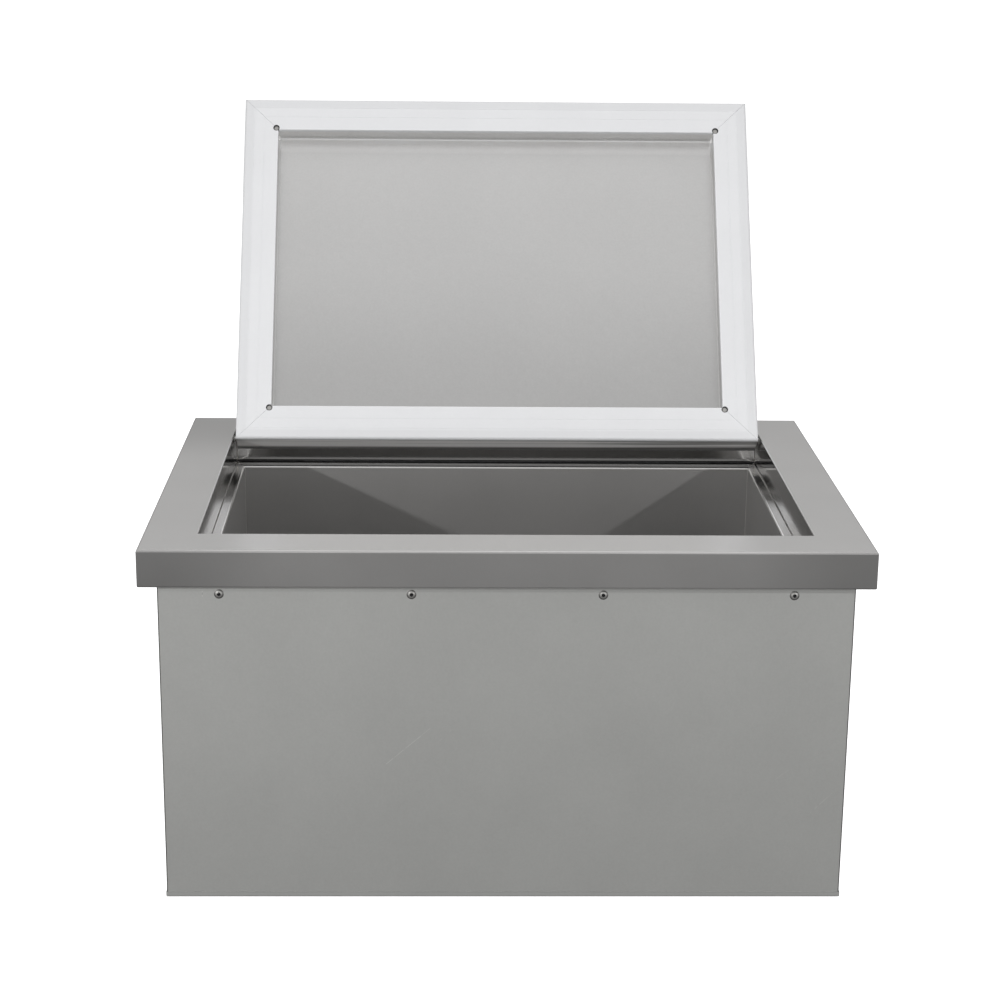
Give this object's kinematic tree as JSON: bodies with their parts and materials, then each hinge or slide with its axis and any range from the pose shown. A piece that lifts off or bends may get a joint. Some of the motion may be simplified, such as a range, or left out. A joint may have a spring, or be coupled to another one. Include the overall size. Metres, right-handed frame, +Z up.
{
  "type": "drop-in cooler",
  "caption": "insulated stainless box that hangs in a worktop cut-out by its wide rim, with a hinged insulated lid, a handle bar and a drain with a lift-out plug",
  "frame": {"origin": "middle of the underside of the base pan, below the middle of the rim", "axes": "+X to the right as seen by someone standing in front, -Y to the front, where the lid opens, +Z up"},
  "size_m": [0.714, 0.7352, 0.7277],
  "materials": {
    "rim_steel": "satin",
    "tub_steel": "satin",
    "body_steel": "satin",
    "base_steel": "satin",
    "galvanised": "matte",
    "rivet_steel": "satin",
    "pin_steel": "polished",
    "drain_steel": "polished",
    "lid_steel": "satin",
    "lid_panel_steel": "satin",
    "handle_steel": "satin",
    "foam": "matte",
    "frame_white": "satin",
    "nylon": "satin",
    "sealant": "satin",
    "black_rubber": "matte",
    "brass": "satin"
  },
  "bodies": {
    "cooler_body": {"rim_frame": "rim_steel", "tub_liner": "tub_steel", "front_panel": "body_steel", "back_panel": "body_steel", "left_panel": "body_steel", "right_panel": "body_steel", "base_pan": "base_steel", "body_foam": "foam", "front_angle": "galvanised", "back_angle": "galvanised", "left_angle": "galvanised", "right_angle": "galvanised", "front_rivets": "rivet_steel", "back_rivets": "rivet_steel", "left_rivets": "rivet_steel", "right_rivets": "rivet_steel", "left_hinge_plate": "galvanised", "right_hinge_plate": "galvanised", "left_hinge_pin": "pin_steel", "right_hinge_pin": "pin_steel", "drain_body": "drain_steel", "drain_gasket": "black_rubber", "drain_locknut": "brass", "drain_strainer": "drain_steel", "drain_cup": "base_steel"},
    "plug": {"drain_plug": "black_rubber"},
    "lid": {"lid_skin": "lid_steel", "lid_foam": "foam", "lid_panel": "lid_panel_steel", "front_frame_strip": "frame_white", "back_frame_strip": "frame_white", "left_frame_strip": "frame_white", "right_frame_strip": "frame_white", "corner_rivets": "rivet_steel", "sealant_dabs": "sealant", "left_pivot_block": "nylon", "right_pivot_block": "nylon", "left_bush": "nylon", "right_bush": "nylon", "handle_bar": "handle_steel", "handle_posts": "handle_steel", "handle_stiffener": "galvanised", "handle_screws": "pin_steel"}
  },
  "joints": [
    {"name": "lid_hinge", "type": "hinge", "parent": "cooler_body", "child": "lid", "pos_m": [0, 0.2063, 0.3614], "axis": [1, 0, 0], "range_deg": [0, 123.79]},
    {"name": "plug_lift", "type": "slide", "parent": "cooler_body", "child": "plug", "axis": [0, 0, 1], "range_m": [0, 0.2]}
  ]
}
